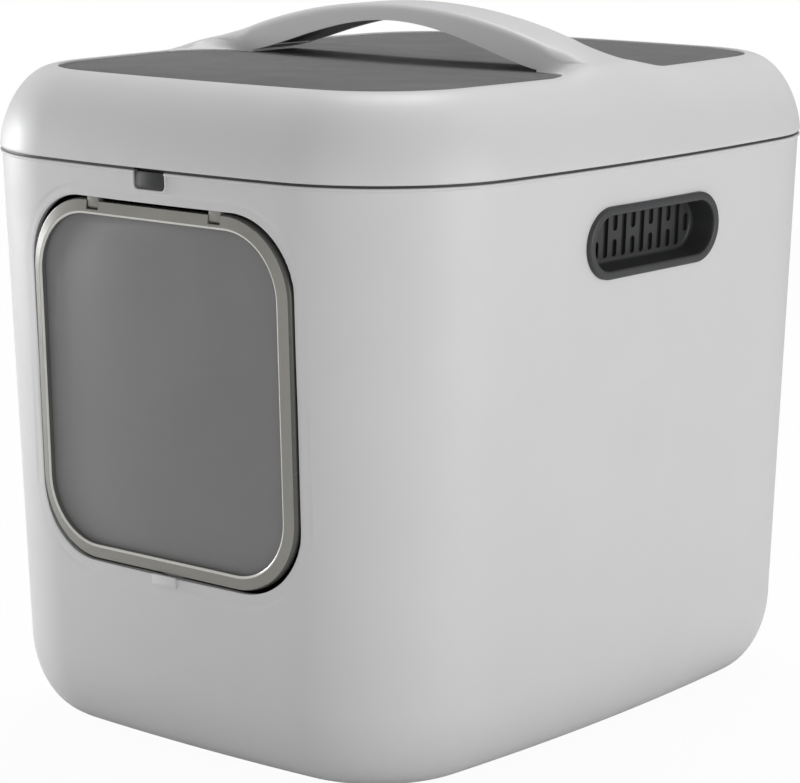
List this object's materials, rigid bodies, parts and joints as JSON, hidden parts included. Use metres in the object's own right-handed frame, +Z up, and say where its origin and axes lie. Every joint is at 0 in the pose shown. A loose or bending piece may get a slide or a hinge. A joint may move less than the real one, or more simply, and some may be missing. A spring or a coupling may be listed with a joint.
{
  "type": "top entry litter box",
  "caption": "Enclosed cat litter box with a bowed tub, a swinging see-through entry flap and a hinged lid with an arched carrying handle.",
  "frame": {"origin": "on the floor, under the middle of the whole box, its rear hinges included", "axes": "+Z up, -Y towards the front wall with the entry flap, +X towards the wall that is on the right seen from the front"},
  "size_m": [0.39, 0.484, 0.4478],
  "materials": {
    "shell_white": "satin moulded plastic",
    "trim_dark": "fine-grained moulded plastic",
    "mat_grey": "fine dimpled soft rubber",
    "flap_frame": "clear taupe plastic",
    "flap_glazing": "smoked clear plastic",
    "carbon_foam": "open-cell carbon foam",
    "foot_rubber": "matt rubber",
    "steel": "bright zinc plated"
  },
  "bodies": {
    "tub": {"tub": "shell_white", "grip_right": "trim_dark", "grip_left": "trim_dark", "filter_right": "carbon_foam", "filter_left": "carbon_foam", "filter_cover_right": "trim_dark", "filter_cover_left": "trim_dark", "foot_front_left": "foot_rubber", "foot_front_right": "foot_rubber", "foot_rear_left": "foot_rubber", "foot_rear_right": "foot_rubber", "flap_lug_left": "flap_frame", "flap_lug_right": "flap_frame", "flap_rod": "steel", "tub_hinge_left": "shell_white", "tub_hinge_right": "shell_white", "hinge_pin_left": "steel", "hinge_pin_right": "steel", "hinge_screws": "steel"},
    "lid": {"lid_shell": "shell_white", "handle_liner": "trim_dark", "top_mat": "mat_grey", "lid_frame": "trim_dark", "lid_hinge_left": "shell_white", "lid_hinge_right": "shell_white", "lid_hinge_screws": "steel", "latch_pin": "steel"},
    "latch": {"lid_latch": "trim_dark"},
    "flap": {"flap_border": "flap_frame", "flap_window": "flap_glazing"},
    "lock": {"flap_lock": "shell_white"}
  },
  "joints": [
    {"name": "lid_hinge", "type": "hinge", "parent": "tub", "child": "lid", "pos_m": [0, 0.2365, 0.3629], "axis": [-1, 0, 0], "range_deg": [0, 100]},
    {"name": "latch_swing", "type": "hinge", "parent": "lid", "child": "latch", "pos_m": [0, -0.235, 0.368], "axis": [-1, 0, 0], "range_deg": [0, 10], "stiffness_Nm_per_rad": 0.02},
    {"name": "flap_swing", "type": "hinge", "parent": "tub", "child": "flap", "pos_m": [0, -0.23611, 0.33824], "axis": [1, 0, 0], "range_deg": [-80, 80]},
    {"name": "flap_lock_slide", "type": "slide", "parent": "tub", "child": "lock", "axis": [0, -0.032, 0.9995], "range_m": [0, 0.003]}
  ]
}
